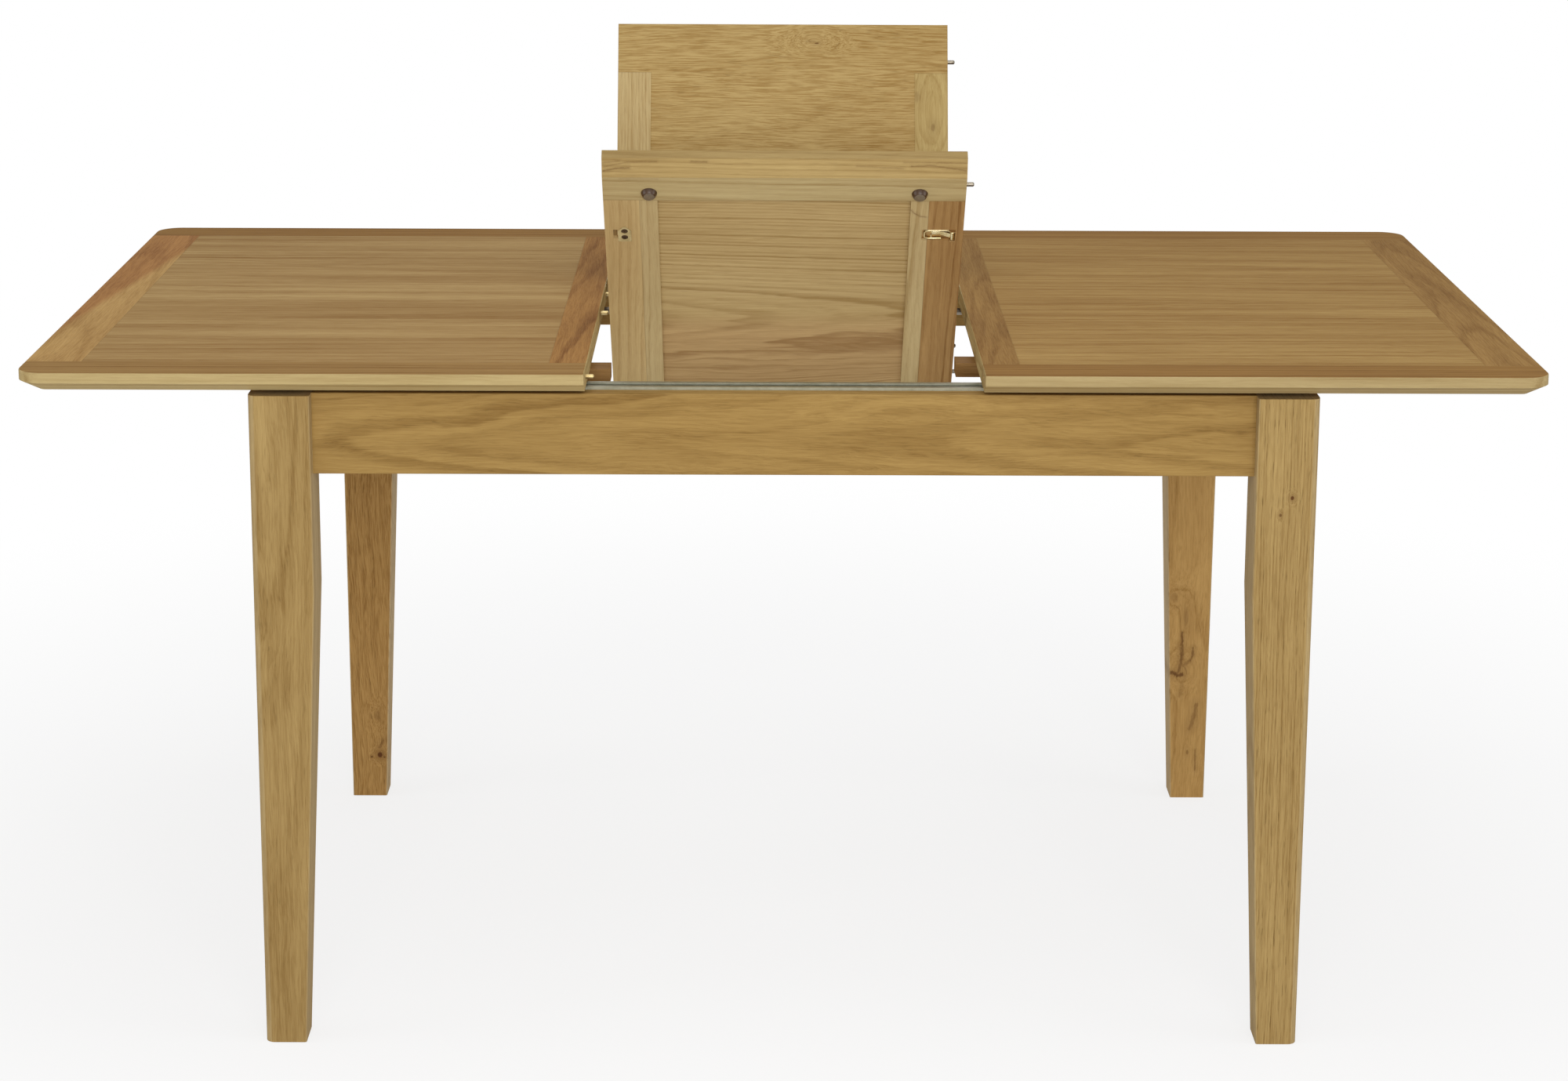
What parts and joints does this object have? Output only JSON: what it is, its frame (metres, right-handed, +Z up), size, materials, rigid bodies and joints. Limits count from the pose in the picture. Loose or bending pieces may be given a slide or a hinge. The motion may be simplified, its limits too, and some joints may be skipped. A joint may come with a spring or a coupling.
{
  "type": "extending dining table",
  "caption": "Rectangular extending table on square tapered legs: the tops slide apart on steel runners and a folding leaf turns up out of the well between them.",
  "frame": {"origin": "on the floor, under the middle of the table", "axes": "+X along the table, the way the right-hand top slides; +Y to the rear, the side of the taller leaf half; +Z up"},
  "size_m": [1.624, 0.9, 1.0594],
  "materials": {
    "oak_top": "satin lacquered oak",
    "oak_leaf": "satin lacquered oak",
    "oak_frame": "satin lacquered oak",
    "brown_wood": "satin brown",
    "steel": "bright zinc",
    "yellow_zinc": "yellow zinc",
    "brass": "satin",
    "rubber": "matt brown"
  },
  "bodies": {
    "frame": {"leg_front_left": "oak_frame", "leg_front_right": "oak_frame", "leg_rear_right": "oak_frame", "leg_rear_left": "oak_frame", "apron_front": "oak_frame", "apron_rear": "oak_frame", "apron_left": "oak_frame", "apron_right": "oak_frame", "corner_blocks": "oak_frame", "leg_bolts": "steel", "frame_screws": "steel", "slide_channel_front": "steel", "slide_channel_rear": "steel", "cross_rail_left": "oak_frame", "cross_rail_right": "oak_frame", "pivot_pins": "steel"},
    "left_top": {"left_top_panel": "oak_top", "left_top_end_strip": "oak_top", "left_top_front_strip": "oak_top", "left_top_rear_strip": "oak_top", "left_top_inner_strip": "oak_top", "left_top_slide_bars": "steel", "left_top_leaf_rests": "brown_wood", "left_top_pins": "steel", "left_top_screws": "steel", "left_top_clip_base": "yellow_zinc"},
    "left_top_clip": {"left_top_clip_lever": "yellow_zinc"},
    "right_top": {"right_top_panel": "oak_top", "right_top_end_strip": "oak_top", "right_top_front_strip": "oak_top", "right_top_rear_strip": "oak_top", "right_top_inner_strip": "oak_top", "right_top_slide_bars": "steel", "right_top_leaf_rests": "brown_wood", "right_top_sockets": "brass", "right_top_screws": "steel", "right_top_keeper": "yellow_zinc"},
    "rear_leaf": {"rear_leaf_panel": "oak_leaf", "rear_leaf_outer_rail": "oak_leaf", "rear_leaf_left_stile": "oak_leaf", "rear_leaf_right_stile": "oak_leaf", "rear_leaf_pins": "steel", "rear_leaf_sockets": "brass", "rear_leaf_bumpers": "rubber", "rear_leaf_pivot_arms": "steel", "rear_leaf_hinge_plates": "brass", "rear_leaf_screws": "steel"},
    "front_leaf": {"front_leaf_panel": "oak_leaf", "front_leaf_outer_rail": "oak_leaf", "front_leaf_left_stile": "oak_leaf", "front_leaf_right_stile": "oak_leaf", "front_leaf_pins": "steel", "front_leaf_sockets": "brass", "front_leaf_bumpers": "rubber", "front_leaf_keeper": "yellow_zinc", "front_leaf_clip_base": "yellow_zinc", "front_leaf_hinge_plates": "brass", "hinge_pins": "steel", "front_leaf_screws": "steel"},
    "front_leaf_clip": {"front_leaf_clip_lever": "yellow_zinc"}
  },
  "joints": [
    {"name": "left_top_slide", "type": "slide", "parent": "frame", "child": "left_top", "axis": [-1, 0, 0], "range_m": [-0.0115, 0]},
    {"name": "right_top_slide", "type": "slide", "parent": "frame", "child": "right_top", "axis": [1, 0, 0], "range_m": [-0.0115, 0]},
    {"name": "leaf_swing", "type": "hinge", "parent": "frame", "child": "rear_leaf", "pos_m": [0, 0.104, 0.72], "axis": [1, 0, 0], "range_deg": [-70.7, 35]},
    {"name": "leaf_fold", "type": "hinge", "parent": "rear_leaf", "child": "front_leaf", "pos_m": [0, 0.03187, 0.63506], "axis": [-1, 0, 0], "range_deg": [-119.5, 59.5]},
    {"name": "left_top_clip_turn", "type": "hinge", "parent": "left_top", "child": "left_top_clip", "pos_m": [-0.224, -0.33, 0.738], "axis": [0, -1, 0], "range_deg": [0, 180]},
    {"name": "front_leaf_clip_turn", "type": "hinge", "parent": "front_leaf", "child": "front_leaf_clip", "pos_m": [0.188, -0.20327, 0.86764], "axis": [0, -0.6626, 0.749], "range_deg": [0, 180]}
  ],
  "couplings": [
    {"joint": "leaf_fold", "follows": "leaf_swing", "ratio": 1.686}
  ]
}
